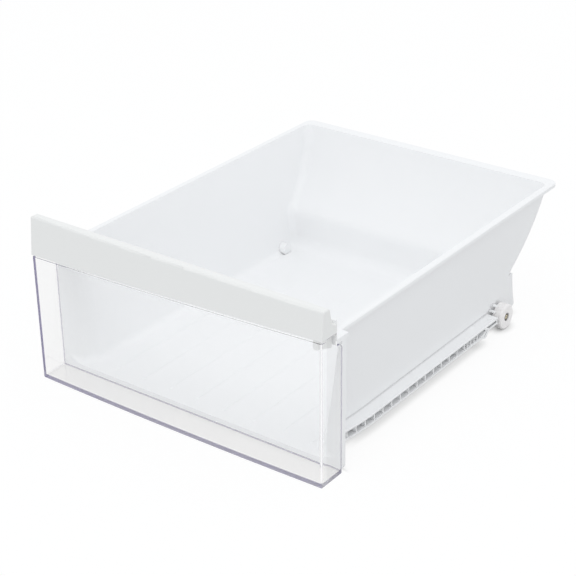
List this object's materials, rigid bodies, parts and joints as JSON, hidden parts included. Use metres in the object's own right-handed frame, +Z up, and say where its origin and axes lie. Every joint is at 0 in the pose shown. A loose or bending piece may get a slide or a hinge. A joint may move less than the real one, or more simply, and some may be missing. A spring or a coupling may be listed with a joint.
{
  "type": "fridge crisper drawer",
  "caption": "White moulded crisper drawer with ribbed side rails, a clear front cover, a pale handle trim over it and rollers at the back.",
  "frame": {"origin": "middle of the drawer's footprint, on the plane that the front cover and the rollers stand on", "axes": "+X to the right as seen from the front, +Y from the front to the back, +Z up"},
  "size_m": [0.376, 0.4915, 0.1935],
  "materials": {
    "tub_plastic": "satin white moulding",
    "clear_plastic": "clear polished moulding",
    "trim_plastic": "fine satin, pale warm grey",
    "roller_plastic": "smooth white",
    "pin_steel": "turned steel"
  },
  "bodies": {
    "drawer": {"drawer_tub": "tub_plastic", "clear_front": "clear_plastic", "handle_trim": "trim_plastic", "axle_pin_left": "pin_steel", "axle_pin_right": "pin_steel"},
    "left_roller": {"roller_left": "roller_plastic"},
    "right_roller": {"roller_right": "roller_plastic"}
  },
  "joints": [
    {"name": "left_roller_turn", "type": "hinge", "parent": "drawer", "child": "left_roller", "pos_m": [-0.1655, 0.14975, 0.015], "axis": [1, 0, 0], "continuous": true},
    {"name": "right_roller_turn", "type": "hinge", "parent": "drawer", "child": "right_roller", "pos_m": [0.1655, 0.14975, 0.015], "axis": [1, 0, 0], "continuous": true}
  ]
}
